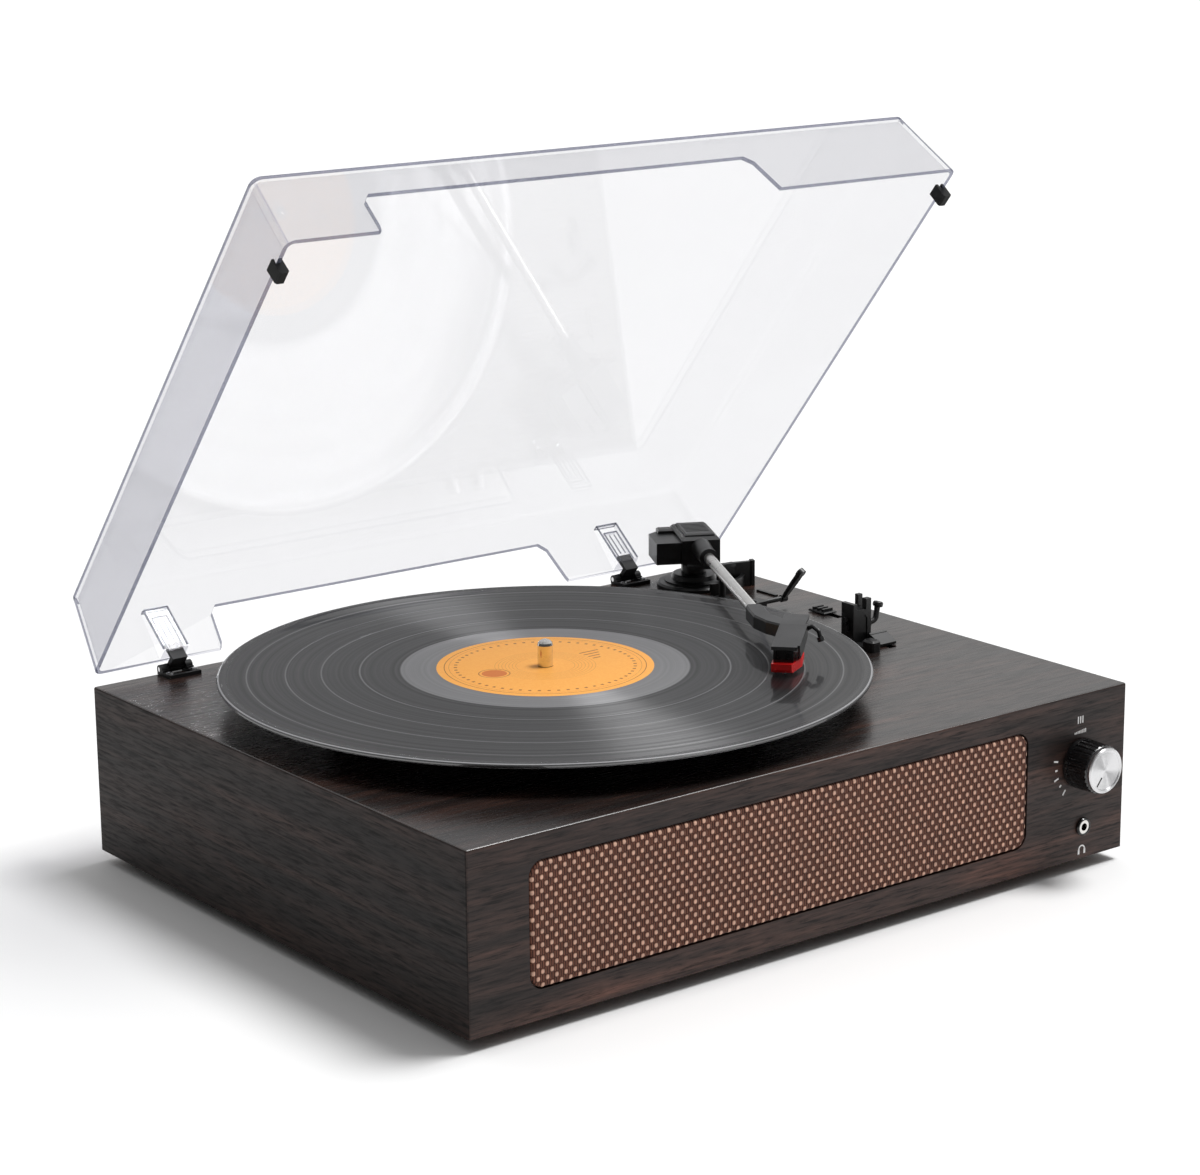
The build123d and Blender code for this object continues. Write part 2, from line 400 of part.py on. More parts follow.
# ---- arm rest and lock ---------------------------------------------------------------
RX0, RX1, RY0, RY1 = 132.5, 144.0, -23.0, -14.3
rest = bx(RX0, RX1, RY0, RY1, DK, DK + 17.4)
rest += bx(RX0, RX0 + 2.4, RY0, RY1, DK + 17.0, DK + 20.7)
rest += bx(RX1 - 3.2, RX1, RY0, RY0 + 3.0, DK + 17.0, DK + 22.6)
rest += bx(141.2, RX1, RY1 - 2.4, RY1, DK + 17.0, DK + 23.4)
rest -= slab_xz([(135.6, DK + 1.2), (141.6, DK + 1.2), (141.6, DK + 13.0), (140.0, DK + 14.6), (137.2, DK + 14.6), (135.6, DK + 13.0)], RY0 - 1, RY0 + 0.5)
rest += cx(-18.6, DK + 12.6, 1.5, RX0 - 2.4, RX0)
web = bx(131.6, 136.4, -32.0, RY0, DK, DK + 1.6)
foot = extrude(Pos(134.0, -34.3, DK) * RectangleRounded(6.2, 7.8, 1.6), 5.6)
foot = chamfer(foot.edges().group_by(Axis.Z)[-1], 0.9)
rest += web + foot
LK_Y, LK_H = -18.6, 8.8
rest -= cx(LK_Y, DK + LK_H, 1.55, RX0 - 1, RX1 + 1)
for px, py in ((138.5, -18.6),):
    rest += cz(px, py, 3.0, DK - 7, DK)
deck2 = deck - cz(138.5, -18.6, 3.0, H - T - 1, H + 1)
save("arm_rest", rest)
made = [m for m in made if m[0] != "deck_panel"]
save("deck_panel", deck2)
jpath = FilletPolyline((146.0, LK_Y, DK + LK_H), (151.0, LK_Y, DK + LK_H + 0.8), (152.2, LK_Y, DK + 16.6), radius=3.0)
lock = sweep(Plane(jpath @ 0, z_dir=jpath % 0) * Circle(1.45), path=jpath)
lock += cx(LK_Y, DK + LK_H, 1.5, RX0 - 1.4, 146.4)
lock += cx(LK_Y, DK + LK_H, 2.0, RX0 - 1.4, RX0 - 0.4)
lock += cx(LK_Y, DK + LK_H, 2.6, RX1 + 0.4, RX1 + 2.0)
head = fillet(Cylinder(2.6, 2.8).edges(), 1.1)
lock += Pos(152.5, LK_Y, DK + 17.2) * Rot(0, 14, 0) * head
save("arm_lock", lock)

# ---- selector and auto-stop slides ----------------------------------------------------
sel = bx(SEL_X - 4.2, SEL_X + 4.2, SEL_Y - 6.0, SEL_Y + 6.0, DK + 0.4, DK + 1.4)
sel = chamfer(sel.edges().group_by(Axis.Z)[-1], 0.5)
for k in range(3):
    sel += bx(SEL_X - 3.2, SEL_X + 3.2, SEL_Y - 4.2 + k * 3.4, SEL_Y - 2.8 + k * 3.4, DK + 1.4, DK + 2.7)
sel += bx(SEL_X - 1.6, SEL_X + 1.6, SEL_Y - 3.0, SEL_Y + 3.0, DK - 11, DK + 0.4)
sel += bx(SEL_X - 4.0, SEL_X + 4.0, SEL_Y - 3.0, SEL_Y + 3.0, DK - 12.4, DK - 10.4)
save("speed_selector", sel)
# thumb key whose top slopes up to the rear, with one cross groove
yk0, yk1 = STOP_Y - 4.6, STOP_Y + 4.6
pl = Plane((STOP_X - 5.4, 0, 0), x_dir=(0, 1, 0), z_dir=(1, 0, 0))
stp = extrude(pl * make_face(Polyline((yk0, DK + 0.4), (yk1, DK + 0.4), (yk1, DK + 5.2), (yk1 - 0.9, DK + 5.6), (yk0, DK + 1.6), close=True)), 10.8)
stp = chamfer(stp.edges().filter_by(Axis.Z), 0.5)
yy = yk1 - 2.2
stp -= Pos(STOP_X, yy, DK + 1.6 + (yy - yk0) * 4.0 / 8.3) * Rot(25.7, 0, 0) * Box(12.0, 0.5, 0.5)
stp += bx(STOP_X - 1.6, STOP_X + 1.6, STOP_Y - 2.5, STOP_Y + 3.5, DK - 11, DK + 0.5)
stp += bx(STOP_X - 4.0, STOP_X + 4.0, STOP_Y - 2.5, STOP_Y + 3.5, DK - 12.4, DK - 10.4)
save("auto_stop_key", stp)

# ---- cover and hinges ------------------------------------------------------------------
HZ = DK + HINGE_Z
AX = Axis((0, HINGE_Y, HZ), (1, 0, 0))
yr = HINGE_Y - 0.5                     # rear rim, closed
yf = yr - COVER_D                      # front rim, closed
z0, z1 = DK + COVER_GAP, DK + COVER_GAP + COVER_H


def tray(off, za, zb):
    # tapered tray volume, walls moved in by off, between heights za and zb
    def rect(z, r):
        k = (z - z0) / COVER_H
        xw = COVER_W / 2 - DRAFT_S * k - off
        ya = yf + DRAFT_F * k + off
        yb = yr - DRAFT_R * k - off
        return Plane.XY.offset(z) * (Pos(0, (ya + yb) / 2) * RectangleRounded(2 * xw, yb - ya, r))
    return loft([rect(za, 5.0 - off if off else 5.0), rect(zb, 5.0 - off if off else 5.0)])


outer = tray(0, z0, z1)
outer = fillet(outer.faces().sort_by(Axis.Z)[-1].edges(), 1.6)
cover = outer - tray(COVER_T, z0 - 1.0, z1 - COVER_T)
# wide finger and record notches in the front and rear walls
def notch(xa, xb, depth, slope, ya, yb):
    zt = z0 + depth
    pts = [(xa - slope, z0 - 3), (xa, z0 + 3), (xa + 1.5, zt - 4), (xa + 5, zt), (xb - 6, zt), (xb - 2, zt - 4), (xb + slope * 0.4, z0 + 3), (xb + slope, z0 - 3)]
    return slab_xz(pts, ya, yb)


cover -= notch(-140.0, 76.0, 22.5, 2.0, yf - 2, yf + 12)
cover -= notch(-117.0, 88.5, 23.0, 3.0, yr - 14, yr + 2)
# sockets for the hinge tongues
tng, bases, pins, hscr = [], [], [], []
for hx in HINGE_X:
    sock = bx(hx - 6.6, hx + 6.6, yr - 9.4, yr - 1.0, z0 + 0.2, z0 + 25)
    sock &= tray(COVER_T * 0.5, z0 - 1, z1 - 1)
    cover += sock
    cover -= bx(hx - 4.2, hx + 4.2, yr - 8.2, yr - 6.0, z0 - 1, z0 + 20.0)
    # tongue: knuckle on the pin, crank under the rim, short blade up into the socket
    t = cx(HINGE_Y, HZ, 2.2, hx - 4.4, hx + 4.4)
    t += bx(hx - 4.0, hx + 4.0, yr - 8.0, HINGE_Y, HZ - 1.4, HZ + 0.9)
    t += bx(hx - 4.0, hx + 4.0, yr - 8.0, yr - 6.2, HZ - 1.4, z0 + 4.6)
    t -= cx(HINGE_Y, HZ, 1.3, hx - 8, hx + 8)
    tng.append(t)
    b = bx(hx - 8.4, hx + 8.4, 137.4, 139.2, DK, DK + 1.8)
    for s in (-1, 1):
        xa, xb = sorted((hx + s * 4.8, hx + s * 8.4))
        b += bx(xa, xb, 137.4, HINGE_Y, DK, DK + 1.8)
        e = bx(xa, xb, HINGE_Y - 4.2, HINGE_Y + 1.2, DK, DK + 2.5)
        e += cx(HINGE_Y - 0.9, HZ, 2.4, xa, xb)
        e -= bx(hx - 20, hx + 20, HINGE_Y - 10, HINGE_Y + 10, DK - 5, DK)
        b += e
    b -= cx(HINGE_Y, HZ, 1.25, hx - 12, hx + 12)
    for s in (-1, 1):
        b -= cz(hx + s * 6.6, 141.2, 0.9, DK - 1, DK + 3)
        hscr.append(turned([(0, DK - 6.5), (0.9, DK - 6.0), (0.9, DK + 1.8), (1.6, DK + 1.8), (1.3, DK + 2.5), (0, DK + 2.7)], hx + s * 6.6, 141.2))
        deck2 -= cz(hx + s * 6.6, 141.2, 0.9, DK - 7, DK + 1)
    bases.append(b)
    pins.append(cx(HINGE_Y, HZ, 1.25, hx - 8.2, hx + 8.2))
made = [m for m in made if m[0] != "deck_panel"]
save("deck_panel", deck2)
# rubber bumpers clipped on the side rims near the front
bump = []
for s in (-1, 1):
    xo = s * (COVER_W / 2)
    yb0, yb1 = yf + 13.0, yf + 19.4
    b = bx(min(xo + s * 0.9, xo - s * 3.9), max(xo + s * 0.9, xo - s * 3.9), yb0, yb1, DK + 0.4, z0 + 2.6)
    b = chamfer(b.edges().filter_by(Axis.Y).group_by(Axis.Z)[0], 0.8)
    b -= tray(0, z0, z1) - tray(COVER_T, z0 - 1.0, z1 - COVER_T)
    bump.append(b)
cover_open = [p.rotate(AX, -OPEN_DEG) for p in (cover,)]
save("dust_cover", *cover_open)
save("cover_bumpers", *[p.rotate(AX, -OPEN_DEG) for p in bump])
save("hinge_tongues", *[p.rotate(AX, -OPEN_DEG) for p in tng])
save("hinge_bases", *bases)
save("hinge_pins", *pins)
save("hinge_screws", *hscr)

lo = [min(getattr(b.min, a) for _, b in made) for a in "XYZ"]
hi = [max(getattr(b.max, a) for _, b in made) for a in "XYZ"]
print("nodes", len(made), "low", [round(v, 3) for v in lo], "high", [round(v, 3) for v in hi])
print("centre y", round((lo[1] + hi[1]) / 2, 4), "x", round((lo[0] + hi[0]) / 2, 4))
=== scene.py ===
import bpy, bmesh, math
import numpy as np
from mathutils import Matrix, Vector


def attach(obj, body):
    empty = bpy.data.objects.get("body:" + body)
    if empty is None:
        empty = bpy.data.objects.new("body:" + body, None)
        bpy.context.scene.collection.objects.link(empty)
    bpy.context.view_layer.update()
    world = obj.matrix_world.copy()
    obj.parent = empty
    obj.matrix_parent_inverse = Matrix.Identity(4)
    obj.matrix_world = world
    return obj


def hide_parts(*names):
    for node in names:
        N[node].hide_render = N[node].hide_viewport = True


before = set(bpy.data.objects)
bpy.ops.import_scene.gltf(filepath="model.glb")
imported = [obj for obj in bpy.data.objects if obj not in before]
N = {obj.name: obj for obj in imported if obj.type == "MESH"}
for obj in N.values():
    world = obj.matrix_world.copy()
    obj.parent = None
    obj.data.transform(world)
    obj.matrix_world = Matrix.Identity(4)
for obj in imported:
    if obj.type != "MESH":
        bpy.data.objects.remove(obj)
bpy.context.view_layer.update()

# row frame: plinth coordinates moved by these amounts, in metres
SY, SZ = -0.0054694, 0.006
DK = 0.080 + SZ


def mm(x, y, z):
    return Vector((x / 1000.0, y / 1000.0 + SY, z / 1000.0 + SZ))


# ---------------------------------------------------------------- material helpers
class Mat:
    def __init__(self, name):
        self.m = bpy.data.materials.new(name)
        self.m.use_nodes = True
        self.t = self.m.node_tree
        self.t.nodes.clear()
        self.out = self.t.nodes.new("ShaderNodeOutputMaterial")
        self.b = self.t.nodes.new("ShaderNodeBsdfPrincipled")
        self.t.links.new(self.b.outputs[0], self.out.inputs[0])

    def n(self, kind, **kw):
        node = self.t.nodes.new(kind)
        for k, v in kw.items():
            setattr(node, k, v)
        return node

    def l(self, a, b):
        self.t.links.new(a, b)

    def set(self, **kw):
        names = {"color": "Base Color", "rough": "Roughness", "metal": "Metallic", "spec": "Specular IOR Level", "coat": "Coat Weight",
                 "coat_rough": "Coat Roughness", "aniso": "Anisotropic", "ior": "IOR", "alpha": "Alpha", "trans": "Transmission Weight", "sheen": "Sheen Weight"}
        for k, v in kw.items():
            s = self.b.inputs[names[k]]
            s.default_value = (*v, 1.0) if k == "color" else v
        return self

    def coords(self, scale=(1, 1, 1), rot=(0, 0, 0)):
        c = self.n("ShaderNodeTexCoord")
        mp = self.n("ShaderNodeMapping")
        mp.inputs["Scale"].default_value = scale
        mp.inputs["Rotation"].default_value = rot
        self.l(c.outputs["Object"], mp.inputs["Vector"])
        return mp.outputs["Vector"]

    def noise(self, vec, scale, detail=4.0, rough=0.55, dist=0.0):
        t = self.n("ShaderNodeTexNoise")
        t.inputs["Scale"].default_value = scale
        t.inputs["Detail"].default_value = detail
        t.inputs["Roughness"].default_value = rough
        t.inputs["Distortion"].default_value = dist
        self.l(vec, t.inputs["Vector"])
        return t.outputs["Fac"]

    def ramp(self, fac, stops):
        r = self.n("ShaderNodeValToRGB")
        e = r.color_ramp.elements
        while len(e) < len(stops):
            e.new(0.5)
        for el, (p, c) in zip(e, stops):
            el.position = p
            el.color = (*c, 1.0) if len(c) == 3 else c
        self.l(fac, r.inputs["Fac"])
        return r.outputs["Color"]

    def math(self, op, a, b=None):
        m = self.n("ShaderNodeMath", operation=op)
        for i, v in enumerate((a, b)):
            if v is None:
                continue
            if isinstance(v, (int, float)):
                m.inputs[i].default_value = v
            else:
                self.l(v, m.inputs[i])
        return m.outputs[0]

    def mix(self, fac, a, b, blend="MIX"):
        m = self.n("ShaderNodeMix", data_type="RGBA", blend_type=blend)
        for sock, v in ((m.inputs[0], fac), (m.inputs[6], a), (m.inputs[7], b)):
            if isinstance(v, (int, float)):
                sock.default_value = v
            elif isinstance(v, tuple):
                sock.default_value = (*v, 1.0)
            else:
                self.l(v, sock)
        return m.outputs[2]

    def bump(self, height, strength=0.2, distance=0.0002):
        b = self.n("ShaderNodeBump")
        b.inputs["Strength"].default_value = strength
        b.inputs["Distance"].default_value = distance
        self.l(height, b.inputs["Height"])
        self.l(b.outputs["Normal"], self.b.inputs["Normal"])
        return b


def veneer(name, grain, spec=0.22, r0=0.66, r1=0.48, painted_light_gain=1.0, relief=0.45):
    # dark espresso veneer: broad streaks, warm patches and short dark pore strokes along the grain
    m = Mat(name)
    s = {"x": (4.0, 70.0, 70.0), "y": (70.0, 4.0, 70.0)}[grain]
    f = {"x": (60.0, 760.0, 760.0), "y": (760.0, 60.0, 760.0)}[grain]
    p = {"x": (3.2, 16.0, 16.0), "y": (16.0, 3.2, 16.0)}[grain]
    streak = m.noise(m.coords(s), 1.0, 6.0, 0.66, 0.8)
    fine = m.noise(m.coords(f), 1.0, 5.0, 0.68, 0.3)
    patch = m.noise(m.coords(p), 1.3, 3.0, 0.5, 0.9)
    # the gain scales the whole veneer colour per panel: painted light, so the same veneer is brighter on the front
    # and rear than on the sides
    base = m.ramp(streak, [(q_, tuple(v_ * painted_light_gain for v_ in c_)) for q_, c_ in ((0.26, (0.0050, 0.0034, 0.0032)), (0.46, (0.0130, 0.0076, 0.0064)), (0.60, (0.0280, 0.0150, 0.0118)), (0.76, (0.0540, 0.0262, 0.0196)))])
    warm = m.ramp(patch, [(0.38, (0.68, 0.70, 0.73)), (0.56, (1.0, 1.0, 1.0)), (0.72, (1.60, 1.30, 1.16))])
    col = m.mix(1.0, base, warm, "MULTIPLY")
    pores = m.ramp(fine, [(0.36, (0.22, 0.22, 0.22)), (0.47, (0.85, 0.85, 0.85)), (0.66, (1.45, 1.38, 1.34))])
    col = m.mix(1.0, col, pores, "MULTIPLY")
    m.l(col, m.b.inputs["Base Color"])
    rr = m.ramp(fine, [(0.34, (r0, r0, r0)), (0.56, (r1, r1, r1))])
    m.l(rr, m.b.inputs["Roughness"])
    m.set(spec=spec)
    m.bump(fine, relief, 0.00014)
    return m.m


def plastic(name, color, rough, grain=0.12, spec=0.45):
    m = Mat(name)
    v = m.coords()
    a = m.noise(v, 2600.0, 2.0, 0.5)
    b = m.noise(v, 60.0, 3.0, 0.5)
    c = m.ramp(b, [(0.3, tuple(x * 0.82 for x in color)), (0.7, tuple(x * 1.22 for x in color))])
    m.l(c, m.b.inputs["Base Color"])
    r = m.ramp(b, [(0.3, (rough * 0.88,) * 3), (0.7, (min(1, rough * 1.12),) * 3)])
    m.l(r, m.b.inputs["Roughness"])
    m.set(spec=spec)
    m.bump(a, grain, 0.00005)
    return m.m


def metal(name, color, rough, brushed=None, radial=None, scale=900.0, relief=0.08):
    m = Mat(name)
    m.set(metal=1.0)
    if radial:
        # fine concentric turning marks about the given centre
        c = m.n("ShaderNodeTexCoord")
        sub = m.n("ShaderNodeVectorMath", operation="SUBTRACT")
        m.l(c.outputs["Object"], sub.inputs[0])
        sub.inputs[1].default_value = radial
        mul = m.n("ShaderNodeVectorMath", operation="MULTIPLY")
        m.l(sub.outputs[0], mul.inputs[0])
        mul.inputs[1].default_value = (1.0, 0.0, 1.0)
        ln = m.n("ShaderNodeVectorMath", operation="LENGTH")
        m.l(mul.outputs[0], ln.inputs[0])
        cmb = m.n("ShaderNodeCombineXYZ")
        m.l(ln.outputs["Value"], cmb.inputs[0])
        k = m.noise(cmb.outputs[0], 5200.0, 2.0, 0.5)
        colr = m.ramp(k, [(0.3, tuple(x * 0.86 for x in color)), (0.7, color)])
        m.l(colr, m.b.inputs["Base Color"])
        m.set(rough=rough, aniso=0.95)
        tg = m.n("ShaderNodeVectorMath", operation="NORMALIZE")
        m.l(mul.outputs[0], tg.inputs[0])
        m.l(tg.outputs[0], m.b.inputs["Tangent"])
        m.bump(k, 0.10, 0.00003)
    else:
        k = m.noise(m.coords(brushed or (1, 1, 1)), scale, 3.0, 0.5)
        colr = m.ramp(k, [(0.3, tuple(x * 0.88 for x in color)), (0.7, color)])
        m.l(colr, m.b.inputs["Base Color"])
        r = m.ramp(k, [(0.3, (rough * 0.85,) * 3), (0.7, (rough * 1.15,) * 3)])
        m.l(r, m.b.inputs["Roughness"])
        m.bump(k, relief, 0.00003)
    return m.m


# one veneer on every panel, its colour scaled 2.4x on the front and rear, 1.2x on the deck and 1.1x on the sides:
# painted light on the front, painted shade on the sides
wood_x_painted_lit = veneer("veneer_x", "x", 0.32, 0.60, 0.42, 2.4)
wood_y_painted_shade = veneer("veneer_y", "y", 0.22, 0.66, 0.48, 1.1)
wood_top = veneer("veneer_deck", "x", 1.0, 0.36, 0.24, 1.2, 0.16)
black = plastic("black_satin", (0.0062, 0.0064, 0.0070), 0.36, 0.10, 0.70)
black_soft = plastic("black_soft", (0.008, 0.008, 0.0085), 0.60, 0.2)
black_gloss = plastic("black_gloss", (0.004, 0.004, 0.0045), 0.20, 0.04, 0.60)
skirt = plastic("knob_skirt_black", (0.0040, 0.0040, 0.0045), 0.24, 0.03, 0.95)
rubber = plastic("rubber", (0.010, 0.010, 0.010), 0.72, 0.3, 0.3)
red = plastic("red_body", (0.80, 0.013, 0.014), 0.28, 0.05, 0.5)
fibre = plastic("fibreboard", (0.16, 0.10, 0.055), 0.8, 0.5, 0.3)
green = plastic("board_green", (0.012, 0.075, 0.03), 0.5, 0.1)
paper_dark = plastic("cone_paper", (0.012, 0.012, 0.013), 0.85, 0.4, 0.2)
felt = plastic("felt", (0.013, 0.013, 0.014), 0.95, 0.6, 0.1)
steel = metal("steel", (0.62, 0.62, 0.63), 0.24)
chrome = metal("spindle_chrome", (0.82, 0.81, 0.79), 0.06, None, None, 300.0, 0.01)
nickel = metal("nickel", (0.78, 0.77, 0.74), 0.18)
brass = metal("brass", (0.70, 0.50, 0.20), 0.3)
dark_steel = metal("dark_steel", (0.10, 0.10, 0.11), 0.4)
tube_silver = metal("tube_silver", (0.83, 0.82, 0.80), 0.30, (1, 1, 1), None, 160.0, 0.01)
spun = metal("spun_cap", (0.90, 0.90, 0.91), 0.44, radial=tuple(mm(158.3, -150, 47.1)))

by = {
    "front_panel": wood_x_painted_lit, "rear_panel": wood_x_painted_lit, "deck_panel": wood_top, "left_panel": wood_y_painted_shade, "right_panel": wood_y_painted_shade,
    "base_panel": fibre, "corner_blocks": fibre, "grille_board": fibre, "baffle_board": fibre,
    "rubber_feet": rubber, "cover_bumpers": rubber, "drive_belt": rubber, "slip_mat": felt,
    "stylus": red, "knob_cap": spun, "arm_tube": tube_silver, "spindle": chrome, "rca_jacks": nickel,
    "bearing_bush": brass, "motor_pulley": brass, "circuit_board": green, "speaker_cones": paper_dark,
    "speaker_baskets": dark_steel, "speaker_magnets": dark_steel, "motor": dark_steel,
    "hinge_pins": steel, "hinge_screws": steel, "foot_screws": steel, "speaker_screws": steel, "pot_shaft": steel,
    "arm_pivot_pin": steel, "pot_nut": steel, "knob_skirt": skirt, "headphone_jack": nickel, "jack_nut": black_gloss, "cartridge": black_gloss, "platter": black_soft,
    "hinge_tongues": black_soft, "hinge_bases": black_soft,
}


def dress(o, mat):
    o.data.materials.clear()
    o.data.materials.append(mat)


def smooth(o, deg=32.0):
    o.data.polygons.foreach_set("use_smooth", [True] * len(o.data.polygons))
    o.data.set_sharp_from_angle(angle=math.radians(deg))


for name, o in N.items():
    dress(o, by.get(name, black))


def mesh(name, verts, faces, mat, body, smooth_deg=40.0, slot=None, replaces=()):
    me = bpy.data.meshes.new(name)
    me.from_pydata([tuple(v) for v in verts], [], [tuple(f) for f in faces])
    me.validate()
    me.update()
    o = bpy.data.objects.new(name, me)
    bpy.context.scene.collection.objects.link(o)
    for m_ in (mat if isinstance(mat, list) else [mat]):
        me.materials.append(m_)
    if smooth_deg:
        smooth(o, smooth_deg)
    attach(o, body)
    if replaces:
        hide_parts(*replaces)
    return o


# ---------------------------------------------------------------- grille: basket-woven cloth
GX0, GX1, GZ0, GZ1, GR = -157.1, 124.1, 13.4, 68.1, 6.6
PX, PZ = 2.35, 2.88                        # weave cell


def weave(x, z):
    # height 0..1 and thread kind: light squares cross over pairs of dark upright strands
    i, j = np.floor(x / PX), np.floor(z / PZ)
    u, v = x / PX - i, z / PZ - j
    over = ((i + j) % 2) == 0
    hb = (np.clip(np.sin(np.pi * u), 0, 1) ** 0.40) * (np.clip(np.sin(np.pi * v), 0, 1) ** 0.40)
    two = np.abs(np.sin(2 * np.pi * u)) ** 0.6 * (0.55 + 0.45 * np.sin(np.pi * v))
    return np.where(over, 0.30 + 0.70 * hb, 0.52 * two), over


nx, nz = int((GX1 - GX0) / 0.336), int((GZ1 - GZ0) / 0.411)
gx = np.linspace(GX0, GX1, nx + 1)
gz = np.linspace(GZ0, GZ1, nz + 1)
X, Z = np.meshgrid(gx, gz, indexing="ij")
cx_, cz_ = (GX0 + GX1) / 2, (GZ0 + GZ1) / 2
hx_, hz_ = (GX1 - GX0) / 2 - GR, (GZ1 - GZ0) / 2 - GR
qx, qz = np.abs(X - cx_) - hx_, np.abs(Z - cz_) - hz_
corner = (qx > 0) & (qz > 0)
d = np.hypot(np.maximum(qx, 0), np.maximum(qz, 0))
f = np.where(corner & (d > GR), GR / np.maximum(d, 1e-6), 1.0)
X2 = np.where(corner, cx_ + np.sign(X - cx_) * (hx_ + qx * f), X)
Z2 = np.where(corner, cz_ + np.sign(Z - cz_) * (hz_ + qz * f), Z)
qx, qz = np.abs(X2 - cx_) - hx_, np.abs(Z2 - cz_) - hz_
edge = GR - (np.hypot(np.maximum(qx, 0), np.maximum(qz, 0)) + np.minimum(np.maximum(qx, qz), 0))
hgt, over = weave(X2 - GX0, Z2 - GZ0)
roll = np.clip(edge / 1.5, 0, 1)
roll = 1.0 - np.sqrt(1.0 - (1.0 - roll) ** 2 * 0.999)
Y2 = -149.75 - hgt * 0.62 + 2.2 * roll
verts = [mm(a, b, c) for a, b, c in zip(X2.ravel(), Y2.ravel(), Z2.ravel())]
idx = np.arange((nx + 1) * (nz + 1)).reshape(nx + 1, nz + 1)
faces = np.stack([idx[:-1, :-1], idx[1:, :-1], idx[1:, 1:], idx[:-1, 1:]], -1).reshape(-1, 4)
vx = np.array([X2.ravel(), Z2.ravel()]).T
keep = []
for q in faces:
    p = vx[q]
    area = abs((p[2, 0] - p[0, 0]) * (p[3, 1] - p[1, 1]) - (p[3, 0] - p[1, 0]) * (p[2, 1] - p[0, 1])) / 2
    if area > 0.01:
        keep.append(tuple(int(k) for k in q))
cloth = Mat("grille_weave")
cvec = cloth.n("ShaderNodeTexCoord")
sep = cloth.n("ShaderNodeSeparateXYZ")
cloth.l(cvec.outputs["Object"], sep.inputs[0])
cu = cloth.math("DIVIDE", cloth.math("SUBTRACT", sep.outputs[0], GX0 / 1000.0), PX / 1000.0)
cv = cloth.math("DIVIDE", cloth.math("SUBTRACT", sep.outputs[2], GZ0 / 1000.0 + SZ), PZ / 1000.0)
par = cloth.math("FLOORED_MODULO", cloth.math("ADD", cloth.math("FLOOR", cu), cloth.math("FLOOR", cv)), 2.0)
fu, fv = cloth.math("FRACT", cu), cloth.math("FRACT", cv)
bell = cloth.math("MULTIPLY", cloth.math("SINE", cloth.math("MULTIPLY", fu, math.pi)), cloth.math("POWER", cloth.math("SINE", cloth.math("MULTIPLY", fv, math.pi)), 1.3))
var = cloth.noise(cloth.coords(), 420.0, 2.0, 0.5)
light = cloth.ramp(bell, [(0.14, (0.075, 0.024, 0.015)), (0.34, (0.30, 0.145, 0.098)), (0.66, (0.76, 0.48, 0.355))])
strand = cloth.math("ABSOLUTE", cloth.math("SINE", cloth.math("MULTIPLY", fu, 2 * math.pi)))
darkc = cloth.ramp(strand, [(0.20, (0.014, 0.0045, 0.0032)), (0.72, (0.190, 0.074, 0.047))])
ccol = cloth.mix(par, light, darkc)
tone = cloth.ramp(var, [(0.3, (0.72, 0.72, 0.74)), (0.7, (1.12, 1.1, 1.08))])
ccol = cloth.mix(1.0, ccol, tone, "MULTIPLY")
cloth.l(ccol, cloth.b.inputs["Base Color"])
cloth.set(rough=0.82, spec=0.25, sheen=0.15)
fib = cloth.noise(cloth.coords((1.0, 1.0, 4.0)), 2200.0, 2.0, 0.6)
cloth.bump(fib, 0.5, 0.00012)
mesh("grille_weave", verts, keep, cloth.m, "cabinet", 60.0, "grille_fabric", ("grille_cloth",))

# ---------------------------------------------------------------- record with cut grooves
RX, RY, RT = -33.5, 4.0, 94.3


def lathe(name, prof, seg, mat, body, **kw):
    # prof: (radius, height) from the hole edge on top round to the hole edge below, plinth mm
    th = np.linspace(0, 2 * np.pi, seg, endpoint=False)
    vs = [mm(RX + r * math.cos(t), RY + r * math.sin(t), z) for r, z in prof for t in th]
    fs = []
    n = len(prof)
    for i in range(n):
        j = (i + 1) % n
        if j == 0 and not kw.get("close", True):
            break
        for k in range(seg):
            k2 = (k + 1) % seg
            fs.append((i * seg + k, j * seg + k, j * seg + k2, i * seg + k2))
    kw.pop("close", None)
    return mesh(name, vs, fs, mat, body, **kw)


gaps = (136.5, 118.8, 102.5, 85.0)
prof = [(3.62, RT), (52.0, RT), (53.5, RT - 0.22), (66.0, RT - 0.22), (66.4, RT - 0.30)]
r = 66.9
while r < 144.6:
    near = min(abs(r - g) for g in gaps)
    prof.append((r, RT - (0.18 if near < 0.5 else 0.25 + 0.035 * ((int(r * 2)) % 2))))
    r += 0.5
prof += [(145.4, RT - 0.25), (146.6, RT - 0.10), (147.6, RT), (149.0, RT), (149.6, RT - 0.22), (150.0, RT - 0.7), (150.0, RT - 1.4), (149.4, RT - 2.0), (147.0, RT - 2.1), (145.0, RT - 1.8), (54.0, RT - 1.8), (52.0, RT - 2.1), (3.62, RT - 2.1)]


def ring_radius(m, centre):
    c = m.n("ShaderNodeTexCoord")
    sub = m.n("ShaderNodeVectorMath", operation="SUBTRACT")
    m.l(c.outputs["Object"], sub.inputs[0])
    sub.inputs[1].default_value = centre
    mul = m.n("ShaderNodeVectorMath", operation="MULTIPLY")
    m.l(sub.outputs[0], mul.inputs[0])
    mul.inputs[1].default_value = (1.0, 1.0, 0.0)
    ln = m.n("ShaderNodeVectorMath", operation="LENGTH")
    m.l(mul.outputs[0], ln.inputs[0])
    return ln.outputs["Value"], mul.outputs[0]


vin = Mat("vinyl")
rad, rvec = ring_radius(vin, tuple(mm(RX, RY, 0)))
cmb = vin.n("ShaderNodeCombineXYZ")
vin.l(rad, cmb.inputs[0])
band = vin.noise(cmb.outputs[0], 420.0, 5.0, 0.65)
rings = vin.noise(cmb.outputs[0], 6500.0, 2.0, 0.5)


